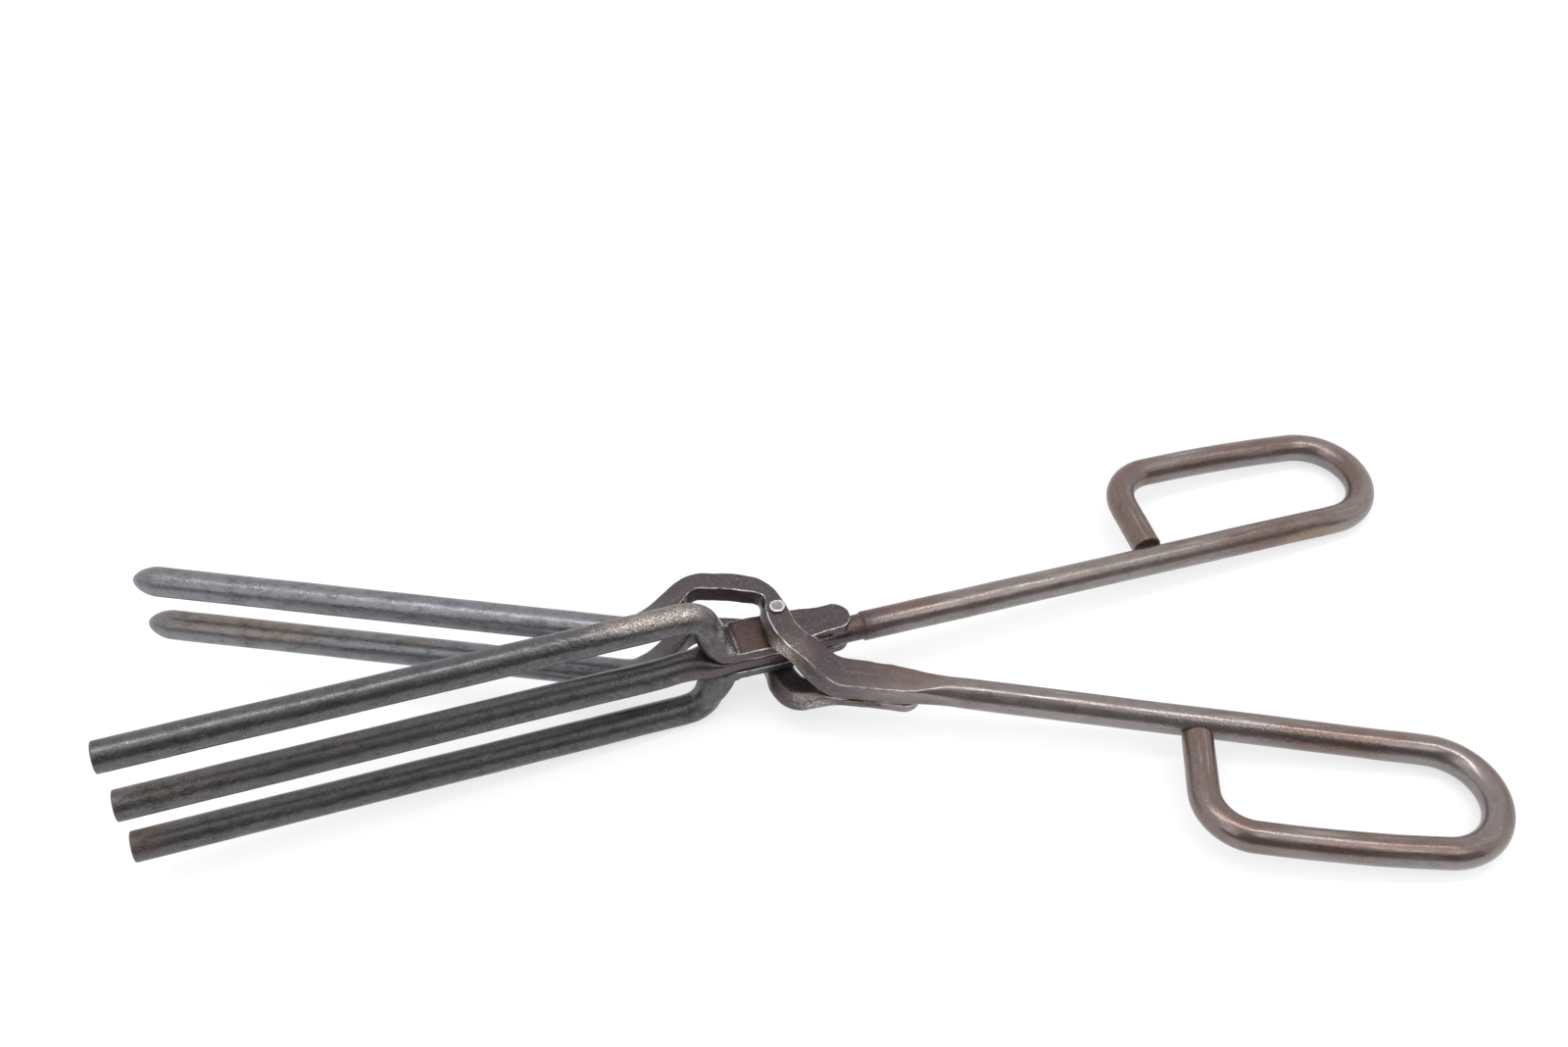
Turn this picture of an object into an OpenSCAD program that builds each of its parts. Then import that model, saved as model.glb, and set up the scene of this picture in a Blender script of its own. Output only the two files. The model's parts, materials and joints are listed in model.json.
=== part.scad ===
// Hair-waving iron of the riveted scissor kind. Three round prongs on one half close
// between the two prongs of the other half, so hair laid across them takes a wave.
// Sizes are in millimetres. X runs along the tool from the prong tips to the finger
// loops, Y across it in the plane of opening, and Z along the rivet.
// The origin is the middle of the footprint at the level of the lowest prong.

/* [Rod and prongs] */
// Diameter of the round iron rod that prongs and handles are made from
rod_d = 6.35; // [5:0.05:8]
// Distance from the rivet to the square-cut ends of the three prongs
prong_reach = 131; // [90:0.5:160]
// Distance from the rivet to the points of the fork's two prongs
fork_reach = 131.5; // [90:0.5:160]
// Length of the pointed end of a fork prong
point_l = 5.5; // [3:0.1:10]
// Radius of the blunt end of a fork prong's point
point_r = 0.5; // [0.2:0.1:1]
// Chamfer on the square-cut ends
end_chamfer = 0.35; // [0.1:0.05:1]
// Height of the upper outer prong above the middle prong
upper_rise = 15; // [14.8:0.1:18]
// Depth of the lower outer prong below the middle prong
lower_drop = 13.6; // [13.5:0.1:18]
// Small bend of both prong sets relative to their handles
prong_set = 1.1; // [0:0.1:2]

/* [Opening] */
// Angle between the two handles as the tool lies
open_rest = 25.5; // [8:0.5:50]

/* [Handles] */
// Distance of the middle bar's axis from the rivet axis
bar_offset = 2.6; // [2.4:0.1:3]
// Distance of the fork's handle axis from the rivet axis
fork_offset = 9.1; // [9.1:0.1:11]
// Distance from the rivet to the stub that closes a finger loop
loop_start = 86.6; // [60:0.5:110]
// Length of a finger loop along its handle, between centre lines
loop_l = 56; // [45:0.5:75]
// Bend radius of the loop's outer end
loop_end_r = 12; // [10:0.1:15]
// Bend radius of the loop's inner corner
loop_corner_r = 9.5; // [6:0.1:12]
// Angle by which the loop widens towards the hinge
loop_flare = 3; // [0:0.5:6]
// Gap between the end of the stub and the handle rod
stub_gap = 0.3; // [0.2:0.05:1]

/* [Hinge stack] */
// Thickness of the middle bar where it is flattened
mid_flat_t = 3.3; // [2.6:0.1:4]
// Thickness of the tails of the outer prong bars
lap_t = 2.5; // [2:0.1:3.5]
// Width of the stack at the rivet
stack_w = 9.2; // [8.6:0.1:11]
// Width of the leaf-shaped tails at their ends
leaf_w = 6.8; // [6:0.1:8]
// Distance from the rivet to the rounded ends of the tails
leaf_l = 15.2; // [13:0.1:16]
// Sideways distance from the rivet to the stack's middle line
stack_shift = 1.6; // [1.4:0.1:2]
// Depth of the worn hollow in the upper tail beside the rivet
hollow_depth = 0.4; // [0:0.05:0.8]
// Distance from the rivet to the shoulder of the full-size handle rod
shoulder_x = 18.9; // [17:0.1:22]
// Diameter of the filed neck between tails and shoulder
neck_d = 5.6; // [5:0.1:6]

/* [Outer prong bends] */
// Distance from the rivet to the foot of an outer prong's bend
foot_x = 12.9; // [12.5:0.1:16]
// Slope of the bent leg of an outer prong
leg_slope = 70; // [60:1:80]
// Bend radius at the top of the leg
leg_bend_r = 5.2; // [4.5:0.1:6]

/* [Fork bars] */
// Thickness of the flattened fork bars at the rivet
fork_t = 4.5; // [3.5:0.1:5]
// Width of the flattened fork bars
fork_w = 4.9; // [4.6:0.1:5.6]
// Distance from the rivet axis to the middle line of the hump
hump_reach = 5.5; // [5:0.1:7]
// Length of the hump between its two corners
hump_l = 15.8; // [15:0.1:20]
// Slope of the hump's leg on the prong side
hump_slope = 60; // [52:1:70]
// Slope of the fork bar where it crosses the stack
cross_slope = 57; // [50:1:62]
// Bend radius of the hump's corners on the middle line
hump_r = 4.6; // [3.2:0.1:6]
// Distance of the rivet from the middle line of the fork bar
rivet_inset = 0.45; // [0:0.05:0.8]
// Width of the fork's flattened tail
tail_w = 7.5; // [6.8:0.1:8]
// Thickness of the flattened end of the handle bar
tail_t = 4.8; // [4:0.1:5.2]
// Thickness of the lower bar's tail under the handle bar
under_t = 2.6; // [2:0.1:3.2]
// Distance from the rivet to the rounded end of the lower bar's tail
under_l = 30.9; // [26:0.1:36]

/* [Rivet and brazing] */
// Diameter of the rivet's shank
rivet_d = 2.6; // [2.4:0.1:2.8]
// Diameter of the peened rivet heads
rivet_head_d = 3.4; // [3.1:0.1:3.8]
// Height of the peened rivet heads
rivet_head_h = 0.45; // [0.3:0.05:0.8]
// Play on the radius between rivet and stack
rivet_play = 0.05; // [0.02:0.01:0.09]
// Play between the stack and each fork bar
hinge_gap = 0.3; // [0.3:0.05:0.6]
// Radius of the brazed beads along the lapped tails
bead_r = 0.6; // [0.4:0.05:0.8]
// Length of a brazed bead
bead_l = 7; // [4:0.5:9]
// Distance of a bead's axis from the edge of the leaf-shaped tail
bead_out = 0.45; // [0.2:0.05:0.6]

/* [Hidden] */
$fn = 64;
rod_r = rod_d / 2;
half_open = open_rest / 2;
stack_t = mid_flat_t + 2 * lap_t;
fork_z = stack_t / 2 + hinge_gap + fork_t / 2;
fork_top = fork_z + fork_t / 2;
loop_cx = loop_start + loop_l - loop_end_r;
cut = 60;
eps = 0.01;
seam = 0.02;
bead_x = 3.5;
bead_rise = 0.25;
// How far the handle's rod runs into the flat tail, and how long it takes to rise out of it
tail_sink = 7;
fair_low = 10;
fair_top = 14;
// Forged roots of the prongs: length on the middle bar before its flattened part, length on
// a fork bar, loss of radius, length of the middle bar's slope down to the flat, and the
// place where its round rod ends inside the stack
forge_l = 20;
fork_forge_l = 8;
forge_loss = 0.2;
wedge_l = 13;
mid_x1 = 2;

// Footprint at rest, which places the origin
function turn(p, a) = [p[0] * cos(a) - p[1] * sin(a), p[0] * sin(a) + p[1] * cos(a)];
end_b = turn([loop_cx, -bar_offset + loop_end_r], half_open);
end_a = turn([loop_cx, -fork_offset - loop_end_r], -half_open);
tip_b = turn([-prong_reach, -bar_offset - rod_r], half_open + prong_set);
tip_b2 = turn([-prong_reach, -bar_offset + rod_r], half_open + prong_set);
tip_a = turn([-fork_reach, -fork_offset], prong_set - half_open);
x_hi = max(end_b[0], end_a[0]) + loop_end_r + rod_r;
x_lo = min(tip_b[0], tip_b2[0], tip_a[0]);
y_hi = end_b[1] + loop_end_r + rod_r;
y_lo = end_a[1] - loop_end_r - rod_r;
mid_x = (x_hi + x_lo) / 2;
mid_y = (y_hi + y_lo) / 2;
base_z = lower_drop + rod_r;

// Points of a route with a rounded bend at every inner corner
function unit(v) = v / norm(v);
function left(v) = [-v[1], v[0]];
function angle_of(v) = atan2(v[1], v[0]);
function wrap(a) = a > 180 ? a - 360 : (a < -180 ? a + 360 : a);
function bend(p, q, s, r, n) =
    let (d = unit(q - p), e = unit(s - q), a = wrap(angle_of(e) - angle_of(d)),
         k = sign(a), t = r * tan(abs(a) / 2), c = q - d * t + left(d) * k * r)
    [for (i = [0 : n]) let (b = angle_of(d) - k * 90 + a * i / n) c + r * [cos(b), sin(b)]];
function route(p, r, n) =
    [p[0], for (i = [1 : len(p) - 2]) each bend(p[i - 1], p[i], p[i + 1], r, n), p[len(p) - 1]];
function normal_at(p, i) =
    let (m = len(p) - 1) left(unit(p[min(i + 1, m)] - p[max(i - 1, 0)]));
function strip(p, w) = concat(
    [for (i = [0 : len(p) - 1]) p[i] + normal_at(p, i) * w / 2],
    [for (i = [len(p) - 1 : -1 : 0]) p[i] - normal_at(p, i) * w / 2]);
function meet(p, d, q, e) =
    let (k = (e[0] * (q[1] - p[1]) - e[1] * (q[0] - p[0])) / (e[0] * d[1] - e[1] * d[0]))
    p + d * k;

// Route of a fork bar seen along the rivet, from prong to handle
cross_dir = [cos(cross_slope), -sin(cross_slope)];
cross_pt = -rivet_inset * [sin(cross_slope), cos(cross_slope)];
hump_b = meet(cross_pt, cross_dir, [0, hump_reach], [1, 0]);
hump_a = hump_b - [hump_l, 0];
prong_dir = [cos(prong_set), sin(prong_set)];
prong_pt = fork_offset * [sin(prong_set), -cos(prong_set)];
root_pt = meet(hump_a, [cos(hump_slope), sin(hump_slope)], prong_pt, prong_dir);
cross_end = meet(cross_pt, cross_dir, [0, -fork_offset], [1, 0]);
fork_start = root_pt - prong_dir * 7;
tail_x0 = cross_end[0] + 7.5;
tail_x1 = under_l - 5;
taper_x = under_l + 3;
fork_route = [fork_start, root_pt, hump_a, hump_b, cross_end, [taper_x, -fork_offset]];
drop_x0 = cross_end[0] + 0.6;
drop_x1 = cross_end[0] + 7.2;

module place_b() {
    translate([-mid_x, -mid_y, base_z])
        rotate([0, 0, half_open])
            children();
}

module place_a() {
    translate([-mid_x, -mid_y, base_z])
        rotate([0, 0, -half_open])
            children();
}

// A side view in X and Z, cut through the whole width
module side(points) {
    translate([0, cut, 0])
        rotate([90, 0, 0])
            linear_extrude(2 * cut)
                polygon(points);
}

// Round rod along X from x0 to x1
module rod(x0, x1, r) {
    translate([x0, 0, 0])
        rotate([0, 90, 0])
            cylinder(r = r, h = x1 - x0);
}

// Ball that closes the seam between a bend and a straight length; its poles lie inside the rod
module knuckle() {
    rotate([0, 90, 0])
        sphere(r = rod_r + seam);
}

// Round rod with a chamfered square-cut end at x0, full size up to x1
module cut_rod(x0, x1) {
    translate([x0, 0, 0])
        rotate([0, 90, 0])
            rotate_extrude()
                polygon([[0, 0], [rod_r - end_chamfer, 0], [rod_r, end_chamfer],
                    [rod_r, x1 - x0], [0, x1 - x0]]);
}

// Round rod with a pointed end at x0, full size up to x1
module pointed_rod(x0, x1) {
    steps = 10;
    translate([x0, 0, 0])
        rotate([0, 90, 0])
            rotate_extrude()
                polygon(concat(
                    [[0, 0]],
                    [for (i = [0 : steps]) let (a = 90 * i / steps)
                        [point_r + (rod_r - point_r) * sin(a), point_l * (1 - cos(a))]],
                    [[rod_r, x1 - x0], [0, x1 - x0]]));
}

// Finger loop that bulges towards +Y, with its handle rod from x0 on
module finger_loop(x0) {
    f = loop_flare;
    far_x = loop_cx + loop_end_r * sin(f);
    far_y = loop_end_r * (1 + cos(f));
    stub_x = loop_start + loop_corner_r * sin(f);
    far_l = (far_x - stub_x) / cos(f) - loop_corner_r;
    corner_x = far_x - far_l * cos(f) - loop_corner_r * sin(f);
    corner_y = far_y + far_l * sin(f) - loop_corner_r * cos(f);
    stub_l = (corner_y + loop_corner_r * sin(f) - rod_r - stub_gap - rod_r * sin(f)) / cos(f);
    rod(x0, loop_cx, rod_r);
    translate([loop_cx, 0, 0])
        knuckle();
    translate([loop_cx, loop_end_r, 0])
        rotate([0, 0, -90])
            rotate_extrude(angle = 180 - f)
                translate([loop_end_r, 0])
                    circle(r = rod_r);
    translate([far_x, far_y, 0])
        rotate([0, 0, 180 - f]) {
            knuckle();
            rod(0, far_l, rod_r);
            translate([far_l, 0, 0])
                knuckle();
        }
    translate([corner_x, corner_y, 0])
        rotate([0, 0, 90 - f])
            rotate_extrude(angle = 90)
                translate([loop_corner_r, 0])
                    circle(r = rod_r);
    translate([corner_x, corner_y, 0])
        rotate([0, 0, 180 - f])
            translate([loop_corner_r, 0, 0])
                rotate([0, 0, 90]) {
                    knuckle();
                    rod(0, stub_l, rod_r);
                }
}

// Outline of the stack, seen along the rivet: widest at the rivet, leaf-shaped tail
module stack_plan(x_end) {
    n = 16;
    x_start = -foot_x - rod_r;
    w0 = stack_w / 2;
    w1 = leaf_w / 2;
    x_round = x_end - w1;
    function half_w(x) = x < 0 ? w0 : w1 + (w0 - w1) * (1 + cos(180 * min(x / x_round, 1))) / 2;
    rim = concat(
        [[x_start, w0]],
        [for (i = [0 : n]) let (x = x_round * i / n) [x, half_w(x)]],
        [for (i = [1 : n - 1]) let (a = 90 - 90 * i / n) [x_round + w1 * cos(a), w1 * sin(a)]]);
    translate([0, -stack_shift])
        polygon(concat(rim, [[x_end, 0]],
            [for (i = [len(rim) - 1 : -1 : 0]) [rim[i][0], -rim[i][1]]]));
}

// Hole through the stack for the rivet
module rivet_hole(r) {
    translate([0, 0, -cut / 2])
        cylinder(r = r, h = cut);
}

// Middle prong, flattened hinge part, handle and finger loop: one rod
module centre_bar_solid() {
    t = mid_flat_t / 2;
    x_flat = -foot_x - rod_r;
    difference() {
        union() {
            rotate([0, 0, prong_set])
                translate([0, -bar_offset, 0])
                    intersection() {
                        union() {
                            cut_rod(-prong_reach, x_flat - forge_l);
                            rod(x_flat - forge_l - 1, mid_x1, rod_r - forge_loss);
                        }
                        side([[-prong_reach - 1, -rod_d], [x_flat - wedge_l, -rod_d],
                            [x_flat, -t], [mid_x1 + 2, -t], [mid_x1 + 2, t], [x_flat, t],
                            [x_flat - wedge_l, rod_d], [-prong_reach - 1, rod_d]]);
                    }
            translate([0, 0, -t])
                linear_extrude(mid_flat_t)
                    stack_plan(leaf_l);
            translate([0, -bar_offset, 0])
                intersection() {
                    rod(-2, shoulder_x + 1, neck_d / 2);
                    side([[-3, -t], [leaf_l, -t], [leaf_l, -rod_r], [shoulder_x + 2, -rod_r],
                        [shoulder_x + 2, rod_r], [leaf_l, rod_r], [leaf_l, t], [-3, t]]);
                }
            translate([0, -bar_offset, 0])
                finger_loop(shoulder_x);
        }
        rivet_hole(rivet_d / 2 + rivet_play);
    }
}

// Outer prong that stands z_prong from the middle one, with its bent leg and its tail
module outer_bar_solid(z_prong) {
    z_lap = (mid_flat_t + lap_t) / 2;
    top_x = -foot_x - (z_prong - z_lap) / tan(leg_slope);
    back = leg_bend_r * tan(leg_slope / 2);
    leg_l = (z_prong - z_lap) / sin(leg_slope) + lap_t;
    difference() {
        union() {
            rotate([0, 0, prong_set])
                translate([0, -bar_offset, 0])
                    intersection() {
                        union() {
                            translate([0, 0, z_prong])
                                cut_rod(-prong_reach, top_x - back);
                            translate([top_x - back, 0, z_prong])
                                knuckle();
                            translate([top_x - back, 0, z_prong - leg_bend_r])
                                rotate([90, 0, 0])
                                    rotate([0, 0, 90 - leg_slope])
                                        rotate_extrude(angle = leg_slope)
                                            translate([leg_bend_r, 0])
                                                circle(r = rod_r);
                            translate([top_x, 0, z_prong])
                                rotate([0, leg_slope, 0]) {
                                    rod(back, leg_l, rod_r);
                                    translate([back, 0, 0])
                                        knuckle();
                                }
                        }
                        side([[-prong_reach - 1, mid_flat_t / 2], [8, mid_flat_t / 2],
                            [8, cut / 2], [-prong_reach - 1, cut / 2]]);
                    }
            translate([0, 0, mid_flat_t / 2])
                linear_extrude(lap_t)
                    intersection() {
                        stack_plan(leaf_l);
                        translate([-foot_x, -cut / 2])
                            square(cut);
                    }
        }
        rivet_hole(rivet_d / 2 + rivet_play);
    }
}

// Shallow worn hollow across the upper tail, between the bent leg and the rivet
module worn_hollow() {
    big_r = (stack_w * stack_w / 4 + hollow_depth * hollow_depth) / (2 * max(hollow_depth, eps));
    x0 = -foot_x + rod_r + 0.6;
    x1 = -rivet_head_d / 2 - 1.2;
    translate([x0, -stack_shift, stack_t / 2 - hollow_depth + big_r])
        rotate([0, 90, 0])
            cylinder(r = big_r, h = x1 - x0, $fn = 180);
}

// Flattened part of a fork bar seen along the rivet
module fork_plan() {
    polygon(strip(route(fork_route, hump_r, 8), fork_w));
}

// Outline of the flattened tail, which widens and runs out into the rod
module tail_plan(x_end) {
    n = 12;
    w = tail_w / 2;
    a = fork_w / 2;
    x0 = cross_end[0] + 2;
    rise = [for (i = [0 : n]) let (k = i / n)
        [x0 + (tail_x0 - x0) * k, a + (w - a) * (1 - cos(180 * k)) / 2]];
    fall = [for (i = [1 : n]) let (k = i / n)
        [tail_x1 - 6 + (x_end - tail_x1 + 6) * k, w - (w - rod_r + 0.3) * (1 - cos(180 * k)) / 2]];
    edge = concat(rise, fall);
    translate([0, -fork_offset])
        polygon(concat(edge,
            [for (i = [len(edge) - 1 : -1 : 0]) [edge[i][0], -edge[i][1]]]));
}

// A fork prong, from its point to the place where the bar is flattened
module fork_prong() {
    rotate([0, 0, prong_set])
        translate([0, -fork_offset, 0]) {
            pointed_rod(-fork_reach, root_pt[0] - fork_forge_l);
            rod(root_pt[0] - fork_forge_l - 1, root_pt[0] - 1, rod_r - forge_loss);
        }
}

// Upper fork bar: prong, hump, crossing, flattened tail, handle and finger loop
module handle_bar_solid() {
    t = tail_t / 2;
    lo = fork_z - fork_t / 2;
    difference() {
        union() {
            intersection() {
                linear_extrude(cut, center = true)
                    union() {
                        fork_plan();
                        tail_plan(taper_x);
                    }
                side([[fork_start[0] - 1, lo], [drop_x0, lo], [drop_x1, -t], [taper_x, -t],
                    [taper_x, t], [drop_x1 + 0.6, t], [drop_x0 + 1, fork_top],
                    [fork_start[0] - 1, fork_top]]);
            }
            translate([0, 0, fork_z])
                fork_prong();
            translate([0, -fork_offset, 0])
                mirror([0, 1, 0])
                    intersection() {
                        finger_loop(tail_x1 - tail_sink + 1);
                        side([[tail_x1 - tail_sink, -t], [under_l + 0.4, -t],
                            [taper_x + fair_low, -rod_d], [loop_cx + cut, -rod_d],
                            [loop_cx + cut, rod_d], [taper_x + fair_top, rod_d],
                            [tail_x1 - tail_sink + 2, t], [tail_x1 - tail_sink, t]]);
                    }
        }
        rivet_hole(rivet_d / 2);
    }
}

// Lower fork bar: prong, hump, crossing and the tail lapped under the handle bar
module lower_bar_solid() {
    t = tail_t / 2;
    hi = -fork_z + fork_t / 2;
    w = tail_w / 2 - 0.5;
    difference() {
        union() {
            intersection() {
                linear_extrude(cut, center = true)
                    union() {
                        intersection() {
                            fork_plan();
                            translate([-cut, -cut])
                                square([cut + tail_x0, 2 * cut]);
                        }
                        intersection() {
                            tail_plan(taper_x + 4);
                            union() {
                                translate([0, -cut])
                                    square([under_l - w, 2 * cut]);
                                translate([under_l - w, -fork_offset])
                                    circle(r = w);
                            }
                        }
                    }
                side([[fork_start[0] - 1, hi], [drop_x0, hi], [drop_x1, -t],
                    [under_l + 1, -t], [under_l + 1, -t - under_t], [drop_x1, -t - under_t],
                    [drop_x0, -fork_top], [fork_start[0] - 1, -fork_top]]);
            }
            translate([0, 0, -fork_z])
                fork_prong();
        }
        rivet_hole(rivet_d / 2);
    }
}

// Bead of brazing metal along X, with rounded ends
module bead(x0, y, z) {
    translate([x0, y, z]) {
        rod(0, bead_l, bead_r);
        sphere(r = bead_r);
        translate([bead_l, 0, 0])
            sphere(r = bead_r);
    }
}

module centre_bar() {
    color([0.25, 0.22, 0.21])
        place_b()
            centre_bar_solid();
}

module upper_prong_bar() {
    color([0.21, 0.20, 0.20])
        place_b()
            difference() {
                outer_bar_solid(upper_rise);
                worn_hollow();
            }
}

module lower_prong_bar() {
    color([0.16, 0.15, 0.15])
        place_b()
            mirror([0, 0, 1])
                outer_bar_solid(lower_drop);
}

module handle_bar() {
    color([0.29, 0.26, 0.26])
        place_a()
            handle_bar_solid();
}

module fork_lower_bar() {
    color([0.24, 0.23, 0.24])
        place_a()
            lower_bar_solid();
}

module rivet() {
    h = 2 * fork_top;
    cap_r = (rivet_head_d * rivet_head_d / 4 + rivet_head_h * rivet_head_h) / (2 * rivet_head_h);
    color([0.45, 0.43, 0.42])
        place_a()
            union() {
                translate([0, 0, -h / 2])
                    cylinder(d = rivet_d, h = h);
                for (s = [0, 1])
                    mirror([0, 0, s])
                        intersection() {
                            translate([0, 0, fork_top + rivet_head_h - cap_r])
                                sphere(r = cap_r, $fn = 96);
                            translate([0, 0, fork_top])
                                cylinder(r = rivet_head_d, h = 2 * rivet_head_h);
                        }
            }
}

module upper_braze() {
    color([0.48, 0.43, 0.36])
        place_b()
            difference() {
                bead(bead_x, -stack_shift - leaf_w / 2 - bead_out, mid_flat_t / 2 + bead_rise);
                outer_bar_solid(upper_rise);
                centre_bar_solid();
            }
}

module lower_braze() {
    color([0.48, 0.43, 0.36])
        place_b()
            difference() {
                bead(bead_x, -stack_shift - leaf_w / 2 - bead_out, -mid_flat_t / 2 - bead_rise);
                mirror([0, 0, 1])
                    outer_bar_solid(lower_drop);
                centre_bar_solid();
            }
}

module fork_braze() {
    color([0.48, 0.43, 0.36])
        place_a()
            difference() {
                bead(tail_x0 + (under_l - tail_x0) / 6, -fork_offset - tail_w / 2 + 0.15, -tail_t / 2);
                handle_bar_solid();
                lower_bar_solid();
            }
}

centre_bar();
upper_prong_bar();
lower_prong_bar();
handle_bar();
fork_lower_bar();
rivet();
upper_braze();
lower_braze();
fork_braze();
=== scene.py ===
"""Looks of a riveted hair-waving iron: forged bars, rivet, brazing and a plain studio.

Lengths in the tables below are millimetres in a half's own plane: x runs along the
handle away from the rivet, y across it, z along the rivet, with the rivet at the origin.
"""

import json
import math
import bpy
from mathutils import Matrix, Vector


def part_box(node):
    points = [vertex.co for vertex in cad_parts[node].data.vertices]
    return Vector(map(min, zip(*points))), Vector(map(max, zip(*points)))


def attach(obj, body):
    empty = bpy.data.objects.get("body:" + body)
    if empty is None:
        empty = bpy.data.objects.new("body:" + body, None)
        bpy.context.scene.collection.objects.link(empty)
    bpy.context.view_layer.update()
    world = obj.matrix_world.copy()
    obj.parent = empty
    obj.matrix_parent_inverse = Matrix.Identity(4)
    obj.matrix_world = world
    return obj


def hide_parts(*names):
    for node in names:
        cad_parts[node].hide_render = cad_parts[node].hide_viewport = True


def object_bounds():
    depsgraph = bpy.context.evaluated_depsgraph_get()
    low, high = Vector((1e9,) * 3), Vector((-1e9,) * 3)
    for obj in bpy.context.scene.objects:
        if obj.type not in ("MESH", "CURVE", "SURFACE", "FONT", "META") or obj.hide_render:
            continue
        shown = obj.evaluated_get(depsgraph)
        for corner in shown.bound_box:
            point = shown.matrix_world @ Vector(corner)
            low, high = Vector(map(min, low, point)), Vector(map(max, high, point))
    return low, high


bl_info = {
    "name": "Hair-waving iron",
    "version": (1, 0, 0),
    "blender": (4, 5, 0),
    "location": "View3D > Sidebar > Waving iron",
    "description": "Models the forged bars, rivet and brazing of a waving iron on its frame",
    "category": "Object",
}

import bpy
import numpy as np
from mathutils import Matrix, Vector, noise

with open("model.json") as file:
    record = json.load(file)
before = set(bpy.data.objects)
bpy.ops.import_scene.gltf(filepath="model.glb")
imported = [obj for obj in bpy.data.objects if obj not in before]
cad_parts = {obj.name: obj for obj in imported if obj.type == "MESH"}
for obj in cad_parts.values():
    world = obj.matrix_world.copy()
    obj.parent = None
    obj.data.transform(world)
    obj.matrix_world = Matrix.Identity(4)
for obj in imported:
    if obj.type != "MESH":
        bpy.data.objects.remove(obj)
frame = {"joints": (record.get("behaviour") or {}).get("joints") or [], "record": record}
CAD_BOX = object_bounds()
RECORD = frame["record"]
MOUNTS = {m["name"]: m for m in RECORD["mounts"]}
HINGE = frame["joints"][0]
RIVET = Vector(HINGE["pos_m"])
MM = 0.001

ROD_R = MOUNTS["middle_prong"]["dims"]["r_mm"]
PRONG_AXIS = MOUNTS["middle_prong"]["axis"]
PRONG_SET = 1.1
HALF_OPEN = math.degrees(math.atan2(-PRONG_AXIS[1], -PRONG_AXIS[0])) - PRONG_SET
UPPER_RISE = (MOUNTS["upper_outer_prong"]["pos_m"][2] - HINGE["pos_m"][2]) / MM
LOWER_DROP = (HINGE["pos_m"][2] - MOUNTS["lower_outer_prong"]["pos_m"][2]) / MM
FORK_Z = (MOUNTS["fork_upper_prong"]["pos_m"][2] - HINGE["pos_m"][2]) / MM

THREE_PRONG = "three_prong_half"
FORK = "fork_half"


# ---------------------------------------------------------------- sizes and colours


def driving_size(name, description, default):
    """Property for one of the iron's sizes."""
    return bpy.props.FloatProperty(name=name, description=description, default=default,
                                   subtype="UNSIGNED")


def finish_colour(name, description, default):
    """Property for the colour of one of the iron's finishes."""
    return bpy.props.FloatVectorProperty(name=name, description=description, default=default,
                                         subtype="COLOR")


class IRON_PG_sizes(bpy.types.PropertyGroup):
    """Sizes of the iron's bars, in millimetres"""

    prong_reach: driving_size("Prong reach", "Rivet to the square-cut prong ends", 131.0)
    fork_reach: driving_size("Fork reach", "Rivet to the points of the fork", 131.5)
    bar_offset: driving_size("Bar offset", "Middle bar's axis to the rivet", 2.6)
    fork_offset: driving_size("Fork offset", "Fork handle's axis to the rivet", 9.1)
    loop_start: driving_size("Loop start", "Rivet to the stub of a finger loop", 86.6)
    loop_length: driving_size("Loop length", "Length of a finger loop between centre lines", 56.0)
    loop_end_radius: driving_size("Loop end radius", "Bend radius of a loop's outer end", 12.0)
    loop_corner_radius: driving_size("Loop corner radius", "Bend radius of a loop's corner", 9.5)
    loop_flare: driving_size(
        "Loop flare", "Widening of a loop towards the hinge, in degrees", 3.0)
    middle_thickness: driving_size("Middle thickness", "Flattened middle bar at the rivet", 3.3)
    lap_thickness: driving_size("Lap thickness", "Tails of the outer prong bars", 2.5)
    fork_thickness: driving_size("Fork thickness", "Flattened fork bars at the rivet", 4.5)
    tail_thickness: driving_size("Tail thickness", "Flattened end of the handle bar", 4.8)
    under_thickness: driving_size("Under thickness", "Lower bar's tail under the handle bar", 2.6)
    leaf_length: driving_size("Leaf length", "Rivet to the rounded ends of the tails", 15.2)
    ring_step: driving_size("Ring step", "Distance between the rings of a bar's mesh", 0.38)
    around: bpy.props.IntProperty(
        name="Points around", description="Points in a ring of a bar's mesh", default=72)


class IRON_PG_finish(bpy.types.PropertyGroup):
    """Colours of the iron's finishes"""

    prong_black: finish_colour(
        "Prong black", "Heat-blackened iron of the prongs", (0.088, 0.085, 0.091))
    fork_blue: finish_colour(
        "Fork blue-grey", "Blue-grey iron of the fork prongs", (0.178, 0.182, 0.2))
    plate_mauve: finish_colour(
        "Plate mauve", "Mauve-grey iron of the flattened bars", (0.08, 0.06, 0.066))
    # The grey also paints the handles' lower side lighter, as a painted reflection of the floor.
    handle_grey: finish_colour(
        "Handle grey", "Rubbed grey iron of the handles", (0.225, 0.203, 0.203))
    handle_brown: finish_colour(
        "Handle brown", "Hand-worn brown iron of the handles", (0.16, 0.106, 0.092))
    tan: finish_colour("Tan", "Tan film on heated iron", (0.22, 0.165, 0.112))
    ochre: finish_colour("Ochre", "Ochre skin on rubbed forged sides", (0.27, 0.2, 0.143))
    rust: finish_colour("Rust", "Red-brown rust in the corners", (0.098, 0.05, 0.036))
    # Bright metal of worn edges, which also colours the painted highlights of the bright marks.
    worn_and_highlight: finish_colour("Worn edge", "Bright metal on worn edges", (0.62, 0.59, 0.56))
    braze: finish_colour("Braze", "Dull brazing metal", (0.16, 0.135, 0.11))


# ---------------------------------------------------------------- lofted bars


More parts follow.
